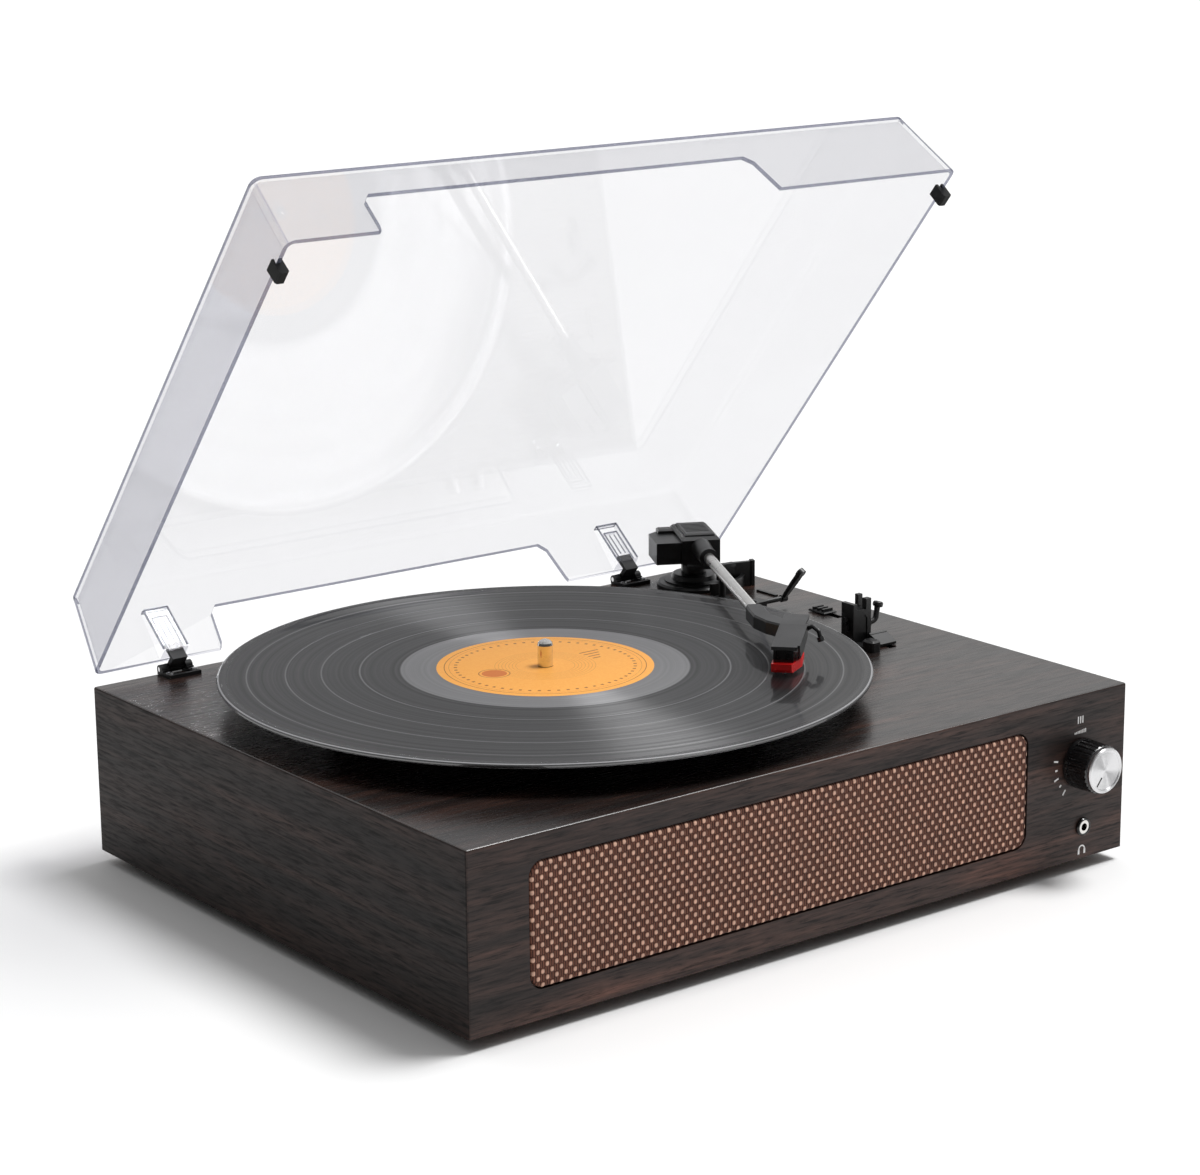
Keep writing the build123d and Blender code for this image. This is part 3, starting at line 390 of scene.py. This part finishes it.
def zone(r0, r1):
    z = vin.n("ShaderNodeMapRange")
    vin.l(rad, z.inputs["Value"])
    z.inputs["From Min"].default_value = r0 / 1000.0
    z.inputs["From Max"].default_value = r1 / 1000.0
    return z.outputs["Result"]


grooved = zone(66.0, 66.8)
rim_ = zone(144.9, 145.7)
col = vin.ramp(band, [(0.32, (0.004, 0.004, 0.0045)), (0.68, (0.012, 0.012, 0.013))])
# the smooth dead wax is painted grey (0.165) against the black grooves: painted sheen, the vinyl there is as black
# as the rest
vinyl_tone_and_painted_sheen = vin.mix(grooved, (0.165, 0.165, 0.169), col)
vinyl_tone_and_painted_sheen = vin.mix(rim_, vinyl_tone_and_painted_sheen, (0.010, 0.010, 0.011))
# painted highlight: a light ring (0.30) at r 148.95-149.65 mm stands in for the gloss line along the rim bevel
painted_rim_highlight = vin.math("MULTIPLY", vin.math("GREATER_THAN", rad, 0.14895), vin.math("LESS_THAN", rad, 0.14965))
vinyl_tone_and_painted_sheen = vin.mix(painted_rim_highlight, vinyl_tone_and_painted_sheen, (0.30, 0.30, 0.31))
# the four track gaps are painted grey (0.110): painted sheen of the smooth land between tracks
for g_ in (136.5, 118.8, 102.5, 85.0):
    painted_gap_sheen = vin.math("LESS_THAN", vin.math("ABSOLUTE", vin.math("SUBTRACT", rad, g_ / 1000.0)), 0.00035)
    vinyl_tone_and_painted_sheen = vin.mix(painted_gap_sheen, vinyl_tone_and_painted_sheen, (0.110, 0.110, 0.114))
vin.l(vinyl_tone_and_painted_sheen, vin.b.inputs["Base Color"])
rz = vin.mix(grooved, (0.40, 0.40, 0.40), vin.ramp(band, [(0.3, (0.33, 0.33, 0.33)), (0.7, (0.43, 0.43, 0.43))]))
rz = vin.mix(rim_, rz, (0.24, 0.24, 0.24))
vin.l(rz, vin.b.inputs["Roughness"])
vin.set(spec=0.02, coat=0.0)
# the groove walls spread the gloss outwards from the record's own centre
nrm = vin.n("ShaderNodeVectorMath", operation="NORMALIZE")
vin.l(rvec, nrm.inputs[0])
vb = vin.bump(vin.math("MULTIPLY", rings, grooved), 0.16, 0.00004)
vg = vin.n("ShaderNodeBsdfAnisotropic")
vin.l(vin.ramp(band, [(0.34, (0.42, 0.42, 0.43)), (0.50, (0.74, 0.74, 0.75)), (0.64, (1.0, 1.0, 1.0))]), vg.inputs["Color"])
vin.l(rz, vg.inputs["Roughness"])
vg.inputs["Anisotropy"].default_value = -0.68
vin.l(nrm.outputs[0], vg.inputs["Tangent"])
vin.l(vb.outputs["Normal"], vg.inputs["Normal"])
vm = vin.n("ShaderNodeMixShader")
vm.inputs[0].default_value = 0.088
vin.l(vin.b.outputs[0], vm.inputs[1])
vin.l(vg.outputs[0], vm.inputs[2])
# thin smooth skin over the grooves that mirrors the arm
vs_ = vin.n("ShaderNodeBsdfGlossy")
vs_.inputs["Color"].default_value = (1.0, 1.0, 1.0, 1.0)
vs_.inputs["Roughness"].default_value = 0.05
vm2 = vin.n("ShaderNodeMixShader")
vm2.inputs[0].default_value = 0.082
vin.l(vm.outputs[0], vm2.inputs[1])
vin.l(vs_.outputs[0], vm2.inputs[2])
vin.l(vm2.outputs[0], vin.out.inputs[0])
lathe("record_grooved", prof, 256, vin.m, "platter_set", smooth_deg=25.0, slot="vinyl", replaces=("record",))

# paper label: rings of dots, a sun disc and bars
lab = Mat("label_print")
lr, lvec = ring_radius(lab, tuple(mm(RX, RY, 0)))
lsep = lab.n("ShaderNodeSeparateXYZ")
lab.l(lvec, lsep.inputs[0])
la = lab.math("ARCTAN2", lsep.outputs[1], lsep.outputs[0])
INK = (0.20, 0.060, 0.020)
fibres = lab.noise(lab.coords(), 900.0, 4.0, 0.6)
lcol = lab.ramp(fibres, [(0.3, (0.92, 0.385, 0.066)), (0.7, (0.97, 0.465, 0.095))])


def between(val, a, b):
    return lab.math("MULTIPLY", lab.math("GREATER_THAN", val, a), lab.math("LESS_THAN", val, b))


def ink(mask, color, strength=1.0):
    global lcol
    lcol = lab.mix(lab.math("MULTIPLY", mask, strength), lcol, color)


ink(between(lr, 0.0462, 0.0466), INK, 0.8)
ink(between(lr, 0.0442, 0.0444), INK, 0.6)
dots = lab.math("GREATER_THAN", lab.math("SINE", lab.math("MULTIPLY", la, 60.0)), 0.55)
ink(lab.math("MULTIPLY", between(lr, 0.0405, 0.0420), dots), INK, 0.85)
for k in range(7):
    ink(between(lr, 0.0135 + k * 0.0016, 0.0137 + k * 0.0016), INK, 0.40)
# sun disc on the left and four short bars on the right
dx = lab.math("SUBTRACT", lsep.outputs[0], -0.026)
dy = lab.math("SUBTRACT", lsep.outputs[1], 0.004)
dd = lab.math("SQRT", lab.math("ADD", lab.math("MULTIPLY", dx, dx), lab.math("MULTIPLY", dy, dy)))
ink(lab.math("LESS_THAN", dd, 0.0058), (0.62, 0.16, 0.03), 0.9)
ink(between(dd, 0.0068, 0.0074), INK, 0.6)
for k in range(4):
    yb = 0.006 - k * 0.0035
    ink(lab.math("MULTIPLY", between(lsep.outputs[1], yb, yb + 0.0010), between(lsep.outputs[0], 0.0245, 0.0355 - 0.0022 * k)), INK, 0.75)
lab.l(lcol, lab.b.inputs["Base Color"])
lab.set(rough=0.55, spec=0.35)
lab.bump(fibres, 0.15, 0.00004)
lathe("label_disc", [(3.62, RT + 0.02), (3.62, RT + 0.10), (49.7, RT + 0.10), (50.0, RT + 0.02)], 192, lab.m, "platter_set", smooth_deg=30.0, slot="label_paper", replaces=("record_label",))

# ---------------------------------------------------------------- clear cover
def clear(name, tint, gloss, haze, rough=0.03, body=0.0):
    # clear sheet: straight see-through, a little grey body colour and an even gloss
    m = Mat(name)
    m.t.nodes.remove(m.b)
    tr = m.n("ShaderNodeBsdfTransparent")
    tr.inputs[0].default_value = (*tint, 1.0)
    gl = m.n("ShaderNodeBsdfGlossy")
    gl.inputs["Color"].default_value = (1, 1, 1, 1)
    gl.inputs["Roughness"].default_value = rough
    df = m.n("ShaderNodeBsdfDiffuse")
    df.inputs[0].default_value = (*haze, 1.0)
    vfac = m.noise(m.coords(), 14.0, 2.0, 0.5)
    hz = m.ramp(vfac, [(0.3, (body * 0.85,) * 3), (0.7, (body * 1.15,) * 3)])
    mx1 = m.n("ShaderNodeMixShader")
    m.l(hz, mx1.inputs[0])
    m.l(tr.outputs[0], mx1.inputs[1])
    m.l(df.outputs[0], mx1.inputs[2])
    lw = m.n("ShaderNodeLayerWeight")
    lw.inputs["Blend"].default_value = 0.5
    fz = m.math("POWER", lw.outputs["Facing"], 4.0)
    fz = m.math("MULTIPLY_ADD", fz, gloss)
    fz.node.inputs[2].default_value = 0.035
    mx2 = m.n("ShaderNodeMixShader")
    m.l(fz, mx2.inputs[0])
    m.l(mx1.outputs[0], mx2.inputs[1])
    m.l(gl.outputs[0], mx2.inputs[2])
    m.l(mx2.outputs[0], m.out.inputs[0])
    return m.m


# clear_turn, clear_outer_edge and clear_side are darker copies of clear_sheet: painted shade standing in for
# refraction at the socket rims, the front and left rounded edges and the left wall; the cut edges' darker bluish
# clear_edge tint is partly the sheet's own tint seen through its length, partly painted shade for refraction
cl_sheet = clear("clear_sheet", (0.912, 0.912, 0.920), 0.34, (0.72, 0.72, 0.75), 0.03, 0.014)
cl_edge_painted_shade = clear("clear_edge", (0.45, 0.46, 0.54), 0.14, (0.20, 0.21, 0.28), 0.06, 0.38)
cl_turn_painted_shade = clear("clear_turn", (0.84, 0.84, 0.88), 0.25, (0.50, 0.51, 0.58), 0.04, 0.10)
cl_sock = clear("clear_socket", (0.965, 0.965, 0.970), 0.30, (0.80, 0.80, 0.82), 0.04, 0.006)
cl_outer_edge_painted_shade = clear("clear_outer_edge", (0.42, 0.43, 0.51), 0.04, (0.15, 0.155, 0.21), 0.08, 0.40)
cl_side_painted_shade = clear("clear_side", (0.800, 0.800, 0.822), 0.34, (0.62, 0.62, 0.66), 0.03, 0.020)
src = N["dust_cover"]
cov = bpy.data.objects.new("cover_clear", src.data.copy())
bpy.context.scene.collection.objects.link(cov)
cov.data.materials.clear()
for m_ in (cl_sheet, cl_edge_painted_shade, cl_turn_painted_shade, cl_sock, cl_outer_edge_painted_shade, cl_side_painted_shade):
    cov.data.materials.append(m_)
cang = math.radians(50.7)
HY, HZ = 0.1485 + SY, 0.0825 + SZ


def opened(x, y, z):
    # closed-cover plinth millimetres to the row frame with the cover open
    y_, z_ = (y - 148.5) / 1000.0, (z - 82.5) / 1000.0
    return Vector((x / 1000.0, y_ * math.cos(cang) + z_ * math.sin(cang) + HY, -y_ * math.sin(cang) + z_ * math.cos(cang) + HZ))


# the sheet's thickness shows as a dark line along the outer edges, put in as painted shade in place of refraction,
# so the walls are split there
bm = bmesh.new()
bm.from_mesh(cov.data)
bmesh.ops.bisect_plane(bm, geom=bm.verts[:] + bm.edges[:] + bm.faces[:], plane_co=opened(0, 0, 123.2), plane_no=Vector((0, math.sin(cang), math.cos(cang))))
bm.to_mesh(cov.data)
bm.free()
for p in cov.data.polygons:
    c = p.center
    y, z = c.y - HY, c.z - HZ
    yc, zc = y * math.cos(cang) - z * math.sin(cang), y * math.sin(cang) + z * math.cos(cang)
    n_ = p.normal
    nyc, nzc = n_.y * math.cos(cang) - n_.z * math.sin(cang), n_.y * math.sin(cang) + n_.z * math.cos(cang)
    sock = yc > -0.0105 and zc < 0.0287 and min(abs(c.x + 0.1455), abs(c.x - 0.1265)) < 0.0068
    walls = max(abs(nzc), abs(nyc), abs(n_.x)) > 0.975
    rim = nzc < -0.9 and zc < 0.0300
    cut = zc < 0.0290 and not walls and abs(nzc) > 0.1 and abs(c.x) < 0.170
    side_cut = walls and abs(n_.x) > 0.975 and abs(c.x) < 0.170 and not sock
    front, leftside = yc < -0.270, c.x < -0.170
    # slots 1, 2, 4 and 5 take the darker tints: painted shade on the cut edges, the socket rims and front-left
    # corner, the front and left rounded edges, and the left wall
    if sock:
        k = 3 if walls and not rim else 2
    elif rim or cut or side_cut:
        k = 1
    elif zc > 0.0407 and nzc < 0.975 and nzc > -0.5 and ((leftside and n_.x < -0.2) or (front and nyc < -0.2)):
        k = 4
    elif walls:
        k = 5 if leftside and abs(n_.x) > 0.975 else 0
    elif leftside and yc > -0.030 and -0.92 < n_.x < -0.45 and nyc > 0.3:
        k = 4
    elif c.x > 0.170 and front and 0.45 < n_.x < 0.92 and nyc < -0.3:
        k = 4
    elif leftside and front and abs(nzc) < 0.2 and 0.6 < abs(n_.x) < 0.8:
        k = 2
    else:
        k = 0
    p.material_index = k
smooth(cov, 30.0)
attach(cov, "cover")
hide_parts("dust_cover")

# moulded ribs and edges of the clear hinge sockets, tinted darker than the sheet as painted shade in place of
# refraction
cl_rib_painted_shade = clear("clear_rib", (0.66, 0.67, 0.72), 0.20, (0.34, 0.35, 0.40), 0.06, 0.30)
bv, bf = [], []


def bead(a_, b_, rad_):
    # slim six-sided rib between two closed-cover points
    pa, pb = opened(*a_), opened(*b_)
    ax_ = (pb - pa).normalized()
    e1 = ax_.cross(Vector((0.31, 0.77, 0.55))).normalized()
    e2 = ax_.cross(e1)
    k0 = len(bv)
    for q_ in (pa, pb):
        bv.extend(q_ + (e1 * math.cos(i * math.pi / 3) + e2 * math.sin(i * math.pi / 3)) * rad_ / 1000.0 for i in range(6))
    bf.extend((k0 + i, k0 + (i + 1) % 6, k0 + 6 + (i + 1) % 6, k0 + 6 + i) for i in range(6))
    bf.append(tuple(k0 + i for i in range(5, -1, -1)))
    bf.append(tuple(k0 + 6 + i for i in range(6)))


for hx in (-145.5, 126.5):
    for w_, top_, yy_, rr_ in ((6.4, 110.4, 138.8, 0.55), (4.1, 105.8, 139.4, 0.42)):
        bead((hx - w_, yy_, 87.0), (hx - w_, yy_, top_), rr_)
        bead((hx + w_, yy_, 87.0), (hx + w_, yy_, top_), rr_)
        bead((hx - w_, yy_, top_), (hx + w_, yy_, top_), rr_)
    for sx_ in (-1, 1):
        bead((hx + sx_ * 1.5, 139.4, 91.5), (hx + sx_ * 1.5, 139.4, 104.0), 0.34)
        bead((hx + sx_ * 6.5, 138.7, 110.6), (hx + sx_ * 6.5, 141.6, 110.6), 0.36)
    bead((hx - 6.5, 141.6, 110.6), (hx + 6.5, 141.6, 110.6), 0.30)
mesh("socket_ribs", bv, bf, cl_rib_painted_shade, "cover", 40.0, "clear_acrylic")

# ---------------------------------------------------------------- bright needle under the stylus
ARM_A, SH_A = math.radians(28.1), math.radians(19.5)


def shell(u, v, h):
    # headshell-local millimetres to the row frame
    a_, b_ = 175.3 + u * math.cos(SH_A) + v * math.sin(SH_A), 14.15 - u * math.sin(SH_A) + v * math.cos(SH_A)
    return mm(150.0 - a_ * math.sin(ARM_A) + b_ * math.cos(ARM_A), 120.0 - a_ * math.cos(ARM_A) - b_ * math.sin(ARM_A), 80.0 + h)


nv, nf = [], []
for ring_, (rr_, hh_) in enumerate(((0.62, 15.75), (0.62, 15.2), (0.34, 14.9), (0.05, 14.7))):
    nv += [shell(54.2 + rr_ * math.cos(2 * math.pi * i / 12), 0.4 + rr_ * math.sin(2 * math.pi * i / 12), hh_) for i in range(12)]
    if ring_:
        nf += [((ring_ - 1) * 12 + i, (ring_ - 1) * 12 + (i + 1) % 12, ring_ * 12 + (i + 1) % 12, ring_ * 12 + i) for i in range(12)]
nf += [tuple(range(11, -1, -1)), tuple(range(36, 48))]
mesh("stylus_needle", nv, [f_[::-1] for f_ in nf], nickel, "arm_pitch", 40.0, "nickel")

# ---------------------------------------------------------------- printed marks on the front
mark = plastic("mark_white", (0.80, 0.79, 0.78), 0.6, 0.05, 0.3)


def flat_marks(name, polys):
    # thin raised ink pads standing on the front face
    vs, fs = [], []
    for poly in polys:
        b = len(vs)
        n = len(poly)
        vs += [mm(x, -150.05, z) for x, z in poly] + [mm(x, -149.98, z) for x, z in poly]
        fs.append(tuple(b + i for i in range(n)))
        fs += [(b + (i + 1) % n, b + i, b + n + i, b + n + (i + 1) % n) for i in range(n)]
    return mesh(name, vs, fs, mark, "cabinet", None, "label_paper")


def rect(x0, x1, z0, z1):
    return [(x0, z0), (x1, z0), (x1, z1), (x0, z1)]


def arc(cx, cz, r0, r1, a0, a1, n=16):
    out = [(cx + r1 * math.cos(math.radians(a0 + (a1 - a0) * i / n)), cz + r1 * math.sin(math.radians(a0 + (a1 - a0) * i / n))) for i in range(n + 1)]
    return out + [(cx + r0 * math.cos(math.radians(a1 - (a1 - a0) * i / n)), cz + r0 * math.sin(math.radians(a1 - (a1 - a0) * i / n))) for i in range(n + 1)]


# level icon, a rising row of ticks, dial ticks and a headphone figure
marks = [rect(156.2 + k * 1.5, 156.9 + k * 1.5, 66.0, 69.4) for k in range(3)]
marks += [rect(154.3 + k * 0.98, 154.95 + k * 0.98, 61.2, 62.1 + 0.14 * k) for k in range(8)]
marks += [arc(161.3, 4.2, 1.55, 2.25, 0, 180), rect(158.8, 160.0, 2.0, 4.4), rect(162.6, 163.8, 2.0, 4.4)]
for a_ in (232, 216, 200, 184, 168):
    ca_, sa_ = math.cos(math.radians(a_)), math.sin(math.radians(a_))
    r1_ = 17.4 if a_ in (232, 200, 168) else 16.0
    px, pz = -sa_ * 0.42, ca_ * 0.42
    marks.append([(158.3 + ca_ * 14.6 + px, 47.1 + sa_ * 14.6 + pz), (158.3 + ca_ * 14.6 - px, 47.1 + sa_ * 14.6 - pz), (158.3 + ca_ * r1_ - px, 47.1 + sa_ * r1_ - pz), (158.3 + ca_ * r1_ + px, 47.1 + sa_ * r1_ + pz)])
flat_marks("front_marks", marks)

# dark strip lying at the bottom of the pointer groove of the knob cap
ga = math.radians(232.0)
gu, gv = (math.cos(ga), math.sin(ga)), (-math.sin(ga), math.cos(ga))
pv = []
for yy_ in (-166.14, -165.96):
    for du, dv in ((3.9, -0.40), (8.5, -0.40), (8.5, 0.40), (3.9, 0.40)):
        pv.append(mm(158.3 + gu[0] * du + gv[0] * dv, yy_, 47.1 + gu[1] * du + gv[1] * dv))
mesh("knob_pointer", pv, [(0, 1, 2, 3), (7, 6, 5, 4), (1, 0, 4, 5), (2, 1, 5, 6), (3, 2, 6, 7), (0, 3, 7, 4)], black_soft, "volume_knob", None, "black_plastic")

# ---------------------------------------------------------------- floor, light, camera
fl = Mat("floor")
fv_ = fl.noise(fl.coords(), 2.0, 2.0, 0.5)
fcol = fl.ramp(fv_, [(0.3, (0.955, 0.955, 0.955)), (0.7, (0.965, 0.965, 0.965))])
fl.l(fcol, fl.b.inputs["Base Color"])
fl.set(rough=0.9, spec=0.1)
me = bpy.data.meshes.new("floor")
me.from_pydata([(-30, -30, 0), (30, -30, 0), (30, 30, 0), (-30, 30, 0)], [], [(0, 1, 2, 3)])
floor = bpy.data.objects.new("floor", me)
bpy.context.scene.collection.objects.link(floor)
me.materials.append(fl.m)

world = bpy.data.worlds.new("studio")
bpy.context.scene.world = world
world.use_nodes = True
wt = world.node_tree
bg = wt.nodes["Background"]
bg.inputs[1].default_value = 1.0
# soft sky: bright overhead, fading to a dim surround
wc = wt.nodes.new("ShaderNodeTexCoord")
wd = wt.nodes.new("ShaderNodeVectorMath")
wd.operation = "DOT_PRODUCT"
wt.links.new(wc.outputs["Generated"], wd.inputs[0])
wd.inputs[1].default_value = Vector((0.48, 0.42, 0.77)).normalized()
wr = wt.nodes.new("ShaderNodeMapRange")
wr.interpolation_type = "SMOOTHSTEP"
wt.links.new(wd.outputs["Value"], wr.inputs["Value"])
wr.inputs["From Min"].default_value = -0.12
wr.inputs["From Max"].default_value = 0.95
wr.inputs["To Min"].default_value = 0.07
wr.inputs["To Max"].default_value = 0.72
wt.links.new(wr.outputs["Result"], bg.inputs[0])

sun = bpy.data.lights.new("key", "SUN")
sun.energy = 2.45
sun.angle = math.radians(24.0)
so = bpy.data.objects.new("key", sun)
bpy.context.scene.collection.objects.link(so)
so.rotation_euler = Vector((-0.40, 0.09, -0.91)).to_track_quat("-Z", "Y").to_euler()

cam = bpy.data.cameras.new("photo_cam")
cam.sensor_fit = "HORIZONTAL"
cam.sensor_width = 36.0
cam.lens = 3117.48 / 1200.0 * 36.0
cam.clip_end = 100.0
co = bpy.data.objects.new("photo_cam", cam)
bpy.context.scene.collection.objects.link(co)
right = Vector((0.790498, -0.612407, -0.008385))
down = Vector((-0.158077, -0.190781, -0.968821))
fwd = Vector((0.591713, 0.767176, -0.24762))
rot = Matrix((right, -down, -fwd)).transposed().to_4x4()
co.matrix_world = Matrix.Translation(mm(-854.608, -1102.174, 483.149)) @ rot
bpy.context.scene.camera = co
bpy.context.scene.view_settings.view_transform = "Standard"
